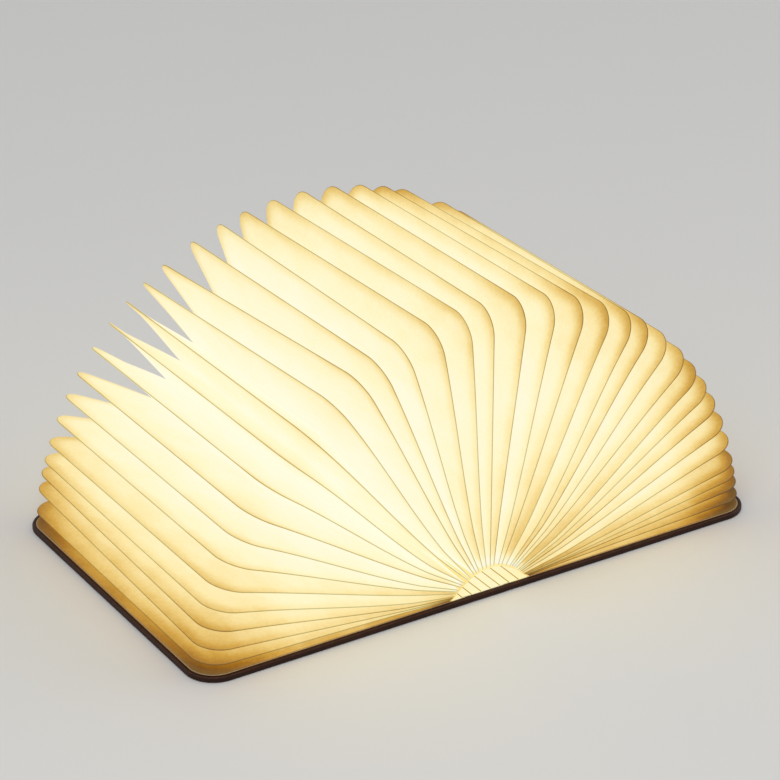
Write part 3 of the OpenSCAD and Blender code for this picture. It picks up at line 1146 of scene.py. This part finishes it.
@dataclass
class FloorLiner:
    """The scored card over the spine, which shows as slats in the open tunnel."""

    half_w: float = 25.0 * MM
    half_l: float = 105.0 * MM
    z_low: float = 3.6 * MM
    z_top: float = 4.2 * MM
    slats: int = 8
    score_w: float = 0.9 * MM
    score_d: float = 0.4 * MM
    bend_from: float = 9.0 * MM
    bend_to: float = 16.0 * MM
    dark_from: float = 60.0 * MM
    plain: float = 8.0

    def section(self) -> tuple[Array, Array, Array]:
        """The top of half the liner, from the middle of the first score outwards.

        Returns:
            Places across the spine, heights, and the mark "inset", which is near 0 in the
            scores, where painted shade darkens them, and plain between them.
        """
        pitch, half = 2 * self.half_w / self.slats, self.score_w / 2
        cuts = pitch * np.arange(self.slats // 2)[:, None]
        steps = [-half, -0.4 * half, 0.4 * half, half, 0.2 * pitch, 0.5 * pitch, 0.8 * pitch]
        x = np.append(cuts + steps, self.half_w)[1:]
        x[0] = 0.0
        deep = np.append(np.tile([0.0, 1.0, 1.0, 0.0, 0.0, 0.0, 0.0], len(cuts)), 0.0)[1:]
        edge = [0.3, 0.0, 0.0, 0.3, self.plain, self.plain, self.plain]
        edge = np.append(np.tile(edge, len(cuts)), self.plain)[1:]
        return x, self.z_top - deep * self.score_d, edge

    def build(self, card: LitPaper) -> None:
        """Make both halves.

        Args:
            card: the liner's finish.
        """
        finish = card.material()
        x, top, edge = self.section()
        seen = np.linspace(self.half_l, self.dark_from, 12)
        y = np.concatenate([-seen, seen[::-1]])[:, None]
        deep = (self.half_l - np.abs(y)) / (self.half_l - self.dark_from)
        for side in Side:
            ring_x = side.value * np.concatenate([x, x[::-1]])
            ring_z = np.concatenate([top, np.full(len(x), self.z_low)])
            points = np.stack(np.broadcast_arrays(ring_x, y, ring_z), axis=-1)
            light = 0.93 + 0.12 * np.clip(deep, 0, 1) - 0.05 * np.abs(ring_x) / self.half_w
            blank = Blank()
            flip = side is Side.RIGHT
            inset = np.concatenate([edge, np.full(len(edge), self.plain)])
            index = blank.grid(points, ring=True, flip=not flip, light=light, edge=1.0, inset=inset)
            blank.cap(index[0], flip=not flip)
            blank.cap(index[-1], flip=flip)
            made = blank.piece(f"{side.word}_floor_liner", finish, crease=20.0)
            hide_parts("floor_liner")
            start, end = side.value * self.bend_from, side.value * self.bend_to
            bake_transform(made, "spine", side.cover, start=(start, 0, 0), end=(end, 0, 0))
        log.info("floor liner: two halves of %d slats", self.slats // 2)


# ---- What keeps its solid's shape -----------------------------------------------------


@dataclass
class Works:
    """The boards, the light bar and the small parts, which keep their solids' shapes."""

    along: Colour = (9000.0, 160.0, 9000.0)

    def finishes(self) -> list[tuple[Card | Metal | MouldedPlastic | OpalPlastic, list[str]]]:
        """Each finish with the nodes that it is on.

        Returns:
            Pairs of a finish and the nodes' names.
        """
        return [
            (
                Card("grey_board", (0.30, 0.22, 0.15), (0.46, 0.36, 0.26)),
                ["spine_board", "right_cover_board", "left_cover_board"],
            ),
            (
                Card("end_sheet", (0.50, 0.34, 0.16), (0.58, 0.41, 0.21), 900.0),
                ["right_endpaper", "left_endpaper"],
            ),
            (Metal("anodised_tray", (0.72, 0.72, 0.73), 0.34, self.along), ["light_tray"]),
            (OpalPlastic(), ["light_diffuser"]),
            (MouldedPlastic("white_mask", (0.80, 0.80, 0.76), (0.70, 0.70, 0.66)), ["led_board"]),
            (
                MouldedPlastic("led_phosphor", (1.0, 0.80, 0.36), (0.95, 0.70, 0.28), 0.25, 2.0),
                ["led_chips"],
            ),
            (
                MouldedPlastic("cell_film", (0.04, 0.12, 0.36), (0.03, 0.09, 0.28), 0.22),
                ["battery_cells"],
            ),
            (
                MouldedPlastic("green_mask", (0.02, 0.13, 0.06), (0.015, 0.10, 0.045), 0.3),
                ["charge_board"],
            ),
            (Metal("port_shell", (0.66, 0.66, 0.67), 0.24, self.along), ["charge_port"]),
            (
                MouldedPlastic("chip_package", (0.02, 0.02, 0.02), (0.03, 0.03, 0.03), 0.5),
                ["hall_switch"],
            ),
            (
                Metal("plated_magnet", (0.70, 0.70, 0.71), 0.18),
                ["right_cover_magnets", "left_cover_magnets"],
            ),
            (Metal("zinc_screw", (0.60, 0.60, 0.61), 0.3), ["tray_screws"]),
        ]

    def dress(self) -> None:
        """Give each kept node its finish."""
        for finish, names in self.finishes():
            material = finish.material()
            for name in names:
                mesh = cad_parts[name].data
                mesh.materials.clear()
                mesh.materials.append(material)
                log.info("%s: %s", name, finish.name)


# ---- Stage, lamps and camera ----------------------------------------------------------


@dataclass
class Studio:
    """A pale floor, a soft light from above and the camera."""

    floor_r: float = 9.0
    floor_tint: Colour = (0.80, 0.785, 0.76)
    sky_tint: Colour = (0.86, 0.85, 0.83)
    soft_tint: Colour = (0.96, 0.98, 1.0)
    soft_strength: float = 0.52
    lamps: tuple[tuple[str, Colour, float, float], ...] = (
        ("key", (-1.3, -1.5, 2.1), 1.8, 26.0),
        ("fill", (2.2, -0.9, 1.5), 2.0, 9.0),
    )
    eye: Colour = (-0.7963, -1.2680, 0.8197)
    target: Colour = (-0.0105, -0.0176, 0.0925)
    lens: float = 135.5

    def build(self) -> None:
        """Make the floor, the sky, the lamps and the camera."""
        self.floor()
        self.sky()
        for name, place, size, power in self.lamps:
            self.lamp(name, place, size, power)
        self.camera()
        log.info("studio: floor, sky, two lamps and camera")

    def floor(self) -> None:
        """Make a round floor: rings about the origin, each twice as far out as the last."""
        turn = np.linspace(0, 2 * math.pi, 97)[:-1]
        r = np.concatenate([[0.02], np.geomspace(0.3, self.floor_r, 8)])[:, None]
        ring = (r * np.cos(turn), r * np.sin(turn), -0.05 * MM)
        points = np.stack(np.broadcast_arrays(*ring), axis=-1)
        blank = Blank()
        index = blank.grid(points, ring=True)
        blank.cap(index[0])
        mix = Recipe("pale_floor")
        cloud = mix.noise(mix.place(), 3.0, 3.0)
        pale = tuple(0.985 * part for part in self.floor_tint)
        tint = mix.mix(cloud, self.floor_tint, pale)
        finish = mix.shade(Base_Color=tint, Roughness=0.7, Specular_IOR_Level=0.2)
        blank.piece("floor", finish)

    def sky(self) -> None:
        """Light the scene evenly from all round, and show a pale wall behind it."""
        world = bpy.data.worlds.new("pale_room")
        bpy.context.scene.world = world
        world.use_nodes = True
        tree = world.node_tree
        tree.nodes.clear()
        path = tree.nodes.new("ShaderNodeLightPath")
        seen = path.outputs["Is Camera Ray"]
        for ray in ("Is Glossy Ray", "Is Transmission Ray"):
            either = tree.nodes.new("ShaderNodeMath")
            either.operation = "MAXIMUM"
            tree.links.new(seen, either.inputs[0])
            tree.links.new(path.outputs[ray], either.inputs[1])
            seen = either.outputs[0]
        soft, wall = (tree.nodes.new("ShaderNodeBackground") for _ in range(2))
        soft.inputs["Color"].default_value = (*self.soft_tint, 1.0)
        soft.inputs["Strength"].default_value = self.soft_strength
        wall.inputs["Color"].default_value = (*self.sky_tint, 1.0)
        mixed = tree.nodes.new("ShaderNodeMixShader")
        out = tree.nodes.new("ShaderNodeOutputWorld")
        tree.links.new(seen, mixed.inputs[0])
        tree.links.new(soft.outputs[0], mixed.inputs[1])
        tree.links.new(wall.outputs[0], mixed.inputs[2])
        tree.links.new(mixed.outputs[0], out.inputs["Surface"])

    def lamp(self, name: str, place: Colour, size: float, power: float) -> None:
        """Hang one square soft lamp that faces the object.

        Args:
            name: its name.
            place: where it hangs.
            size: the length of its sides.
            power: its power in watts.
        """
        light = bpy.data.lights.new(name, "AREA")
        light.size, light.energy = size, power
        made = bpy.data.objects.new(name, light)
        made.location = place
        aim = Vector((0, 0, 0.05)) - Vector(place)
        made.rotation_euler = aim.to_track_quat("-Z", "Y").to_euler()
        bpy.context.scene.collection.objects.link(made)

    def camera(self) -> None:
        """Set up the camera, level, aimed at the middle of the lamp."""
        lens = bpy.data.cameras.new("camera")
        lens.lens, lens.sensor_width = self.lens, 36.0
        made = bpy.data.objects.new("camera", lens)
        made.location = self.eye
        aim = Vector(self.target) - Vector(self.eye)
        made.rotation_euler = aim.to_track_quat("-Z", "Y").to_euler()
        bpy.context.scene.collection.objects.link(made)
        bpy.context.scene.camera = made


def main() -> None:
    """Build the lamp piece by piece."""
    logging.basicConfig(level=logging.INFO, format="%(name)s: %(message)s")
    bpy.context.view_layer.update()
    bpy.context.scene.view_settings.view_transform = "Standard"
    Studio().build()
    sleeve = LitPaper("sleeve_paper", tint=(1.08, 0.94, 0.60))
    # the liner's cut line is painted shade in the bottoms of its scores
    liner = LitPaper(
        "liner_card",
        cut_to=0.28,
        seam_fade=1.2,
        cut_dim=0.25,
        cut_line_shade=(0.46, 0.47, 0.30),
        tint=(1.0, 0.98, 0.82),
    )
    Bellows().build(LitPaper("page_paper"), sleeve)
    Binding().build(Leatherette())
    FloorLiner().build(liner)
    Works().dress()


if __name__ == "__main__":
    main()
